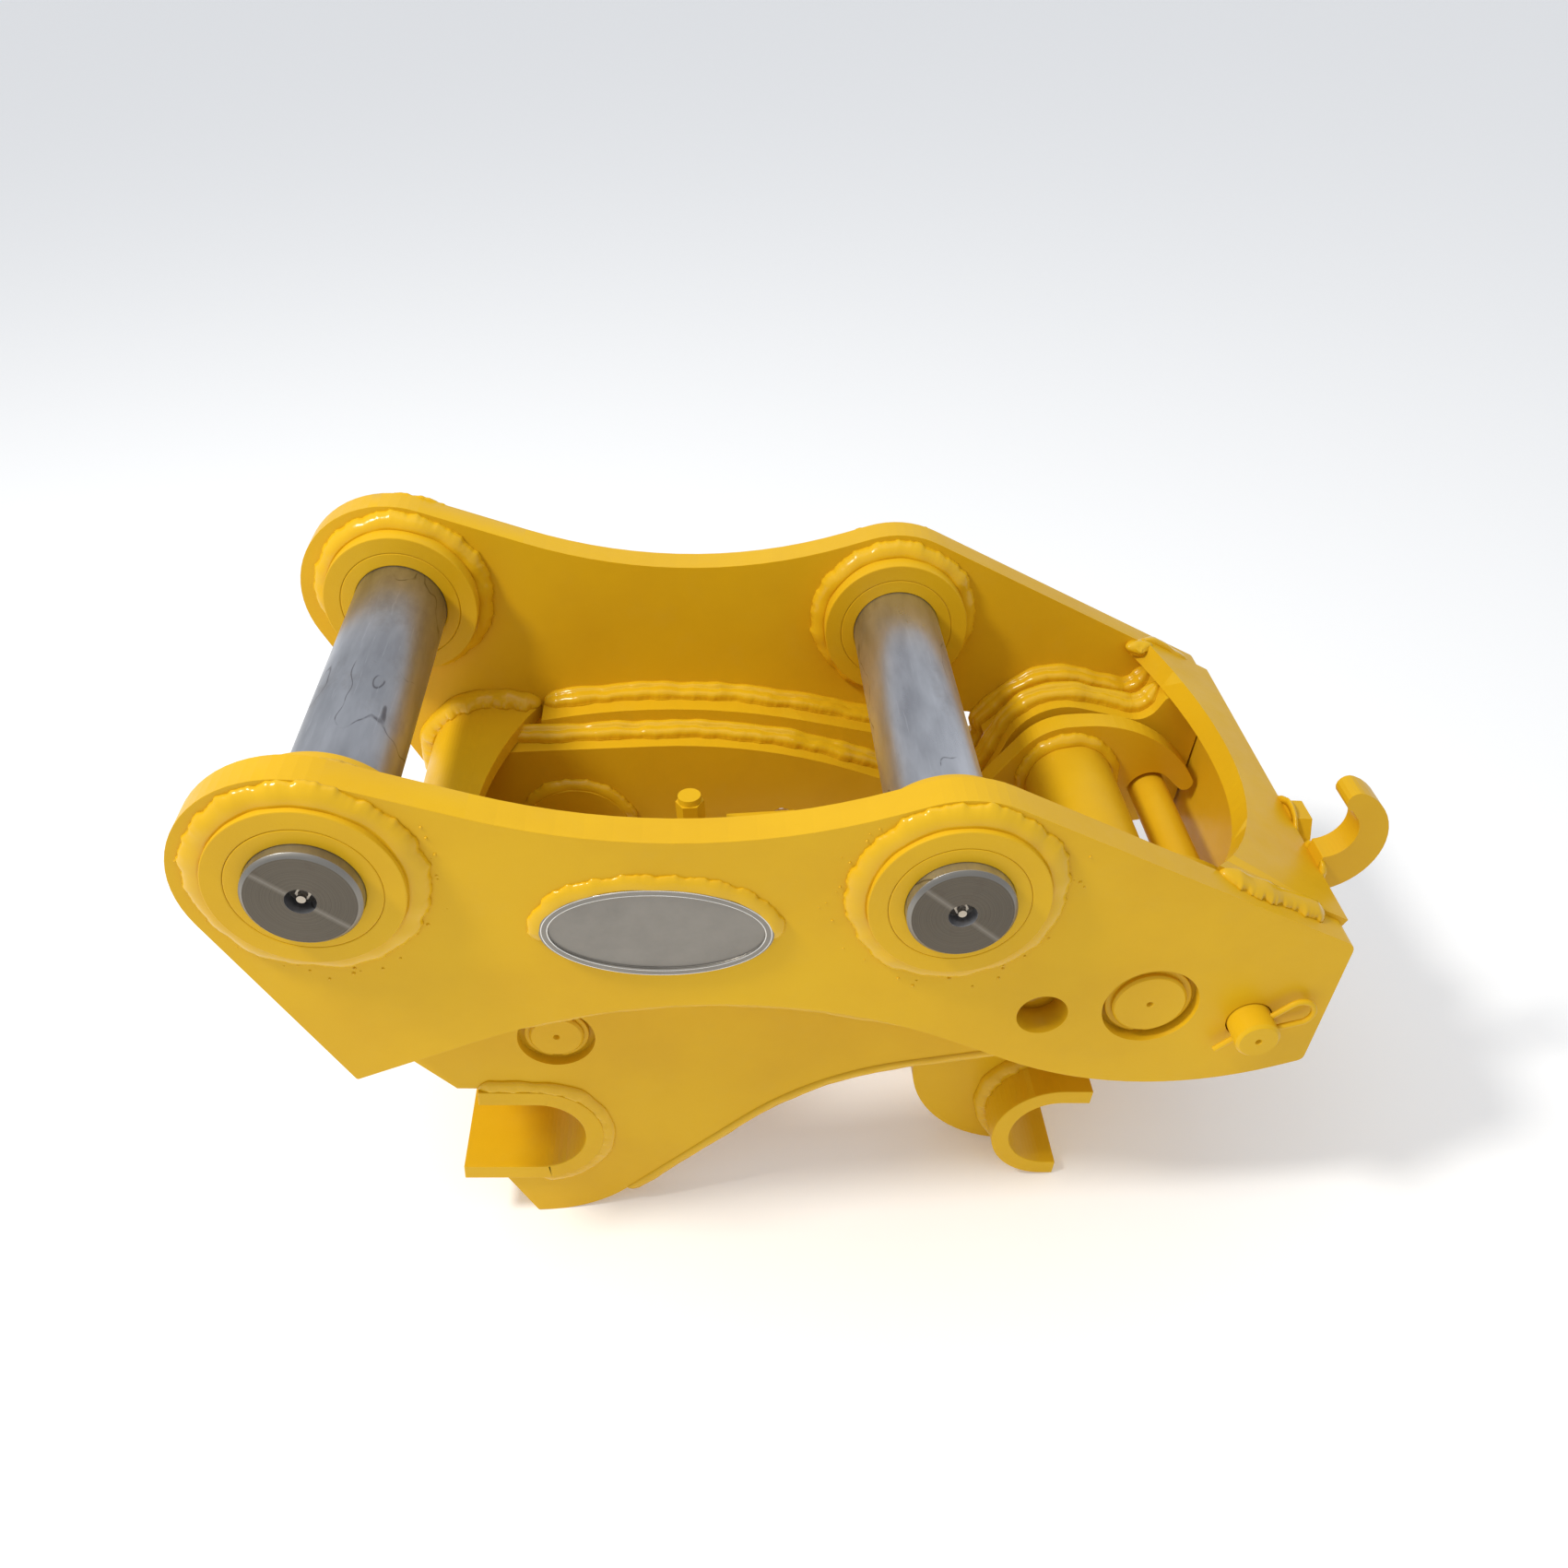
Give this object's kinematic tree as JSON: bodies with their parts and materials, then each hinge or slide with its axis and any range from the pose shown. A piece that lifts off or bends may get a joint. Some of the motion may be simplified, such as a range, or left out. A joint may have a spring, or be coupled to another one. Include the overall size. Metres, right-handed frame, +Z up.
{
  "type": "quick coupler",
  "caption": "Hydraulic quick coupler for an excavator, with two arm pins, a fixed front jaw, a swinging rear hook driven by a cylinder, and a safety pin.",
  "frame": {"origin": "centre of the bounding box's foot, on the floor that the fixed jaw's toe and the hook's heel rest on", "axes": "+Z up, Y along the arm pins with -Y the side that carries the name plate, +X from the front arm pin towards the hook"},
  "size_m": [0.9075, 0.478, 0.5521],
  "materials": {
    "yellow_paint": "gloss machine paint over plate and weld",
    "pin_steel": "bare, induction-hardened and ground, with handling scratches",
    "nipple_steel": "zinc plated, satin",
    "plate_grey": "satin grey with a raised rim",
    "rod_chrome": "hard chrome, polished",
    "piston_steel": "turned",
    "seal_rubber": "matt black"
  },
  "bodies": {
    "frame": {"side_plate_near": "yellow_paint", "side_plate_far": "yellow_paint", "spacer_plate_near": "yellow_paint", "spacer_plate_far": "yellow_paint", "jaw_plate_near": "yellow_paint", "jaw_plate_far": "yellow_paint", "front_outer_collar_near": "yellow_paint", "front_outer_collar_far": "yellow_paint", "rear_outer_collar_near": "yellow_paint", "rear_outer_collar_far": "yellow_paint", "front_inner_collar_near": "yellow_paint", "front_inner_collar_far": "yellow_paint", "rear_inner_collar_near": "yellow_paint", "rear_inner_collar_far": "yellow_paint", "front_bush_near": "yellow_paint", "front_bush_far": "yellow_paint", "rear_bush_near": "yellow_paint", "rear_bush_far": "yellow_paint", "fixed_seat": "yellow_paint", "front_shell": "yellow_paint", "end_plate": "yellow_paint", "lifting_hook": "yellow_paint", "rear_plug": "yellow_paint", "name_plate": "plate_grey", "base_pin_boss_near": "yellow_paint", "base_pin_boss_far": "yellow_paint", "base_pin": "yellow_paint", "base_pin_circlips": "yellow_paint", "pivot_pin": "yellow_paint", "pivot_pin_circlips": "yellow_paint"},
    "front_pin": {"front_pin": "pin_steel", "front_pin_nipple": "nipple_steel"},
    "rear_pin": {"rear_pin": "pin_steel", "rear_pin_nipple": "nipple_steel"},
    "hook": {"hook_plate_near": "yellow_paint", "hook_plate_far": "yellow_paint", "hook_hub": "yellow_paint", "hook_seat": "yellow_paint", "rod_pin": "yellow_paint", "rod_pin_circlips": "yellow_paint"},
    "barrel": {"cylinder_barrel": "yellow_paint", "cylinder_base_eye": "yellow_paint", "cylinder_gland": "yellow_paint", "gland_wiper": "seal_rubber", "port_adaptors": "yellow_paint", "port_caps": "yellow_paint", "lock_valve": "yellow_paint"},
    "rod": {"cylinder_piston": "piston_steel", "piston_seals": "seal_rubber", "cylinder_rod": "rod_chrome", "rod_eye": "yellow_paint"},
    "safety_pin": {"safety_pin": "yellow_paint"},
    "safety_clip": {"safety_clip": "yellow_paint"}
  },
  "joints": [
    {"name": "front_pin_slide", "type": "slide", "parent": "frame", "child": "front_pin", "axis": [0, -1, 0], "range_m": [0, 0.48]},
    {"name": "rear_pin_slide", "type": "slide", "parent": "frame", "child": "rear_pin", "axis": [0, -1, 0], "range_m": [0, 0.48]},
    {"name": "hook_swing", "type": "hinge", "parent": "frame", "child": "hook", "pos_m": [0.24387, 0, 0.27924], "axis": [0, -1, 0], "range_deg": [0, 24]},
    {"name": "barrel_swing", "type": "hinge", "parent": "frame", "child": "barrel", "pos_m": [-0.23485, 0, 0.22974], "axis": [0, -1, 0], "range_deg": [-3.56, 0.4]},
    {"name": "rod_slide", "type": "slide", "parent": "barrel", "child": "rod", "axis": [1, 0, -0.0093], "range_m": [-0.0005, 0.0285]},
    {"name": "safety_pin_turn", "type": "hinge", "parent": "frame", "child": "safety_pin", "pos_m": [0.32749, 0, 0.25476], "axis": [0, -1, 0], "continuous": true},
    {"name": "clip_pull", "type": "slide", "parent": "safety_pin", "child": "safety_clip", "axis": [0.7779, 0, 0.6284], "range_m": [0, 0.056]}
  ],
  "couplings": [
    {"joint": "barrel_swing", "follows": "hook_swing", "ratio": -0.1318},
    {"joint": "rod_slide", "follows": "hook_swing", "m_per_rad": 0.0656}
  ]
}
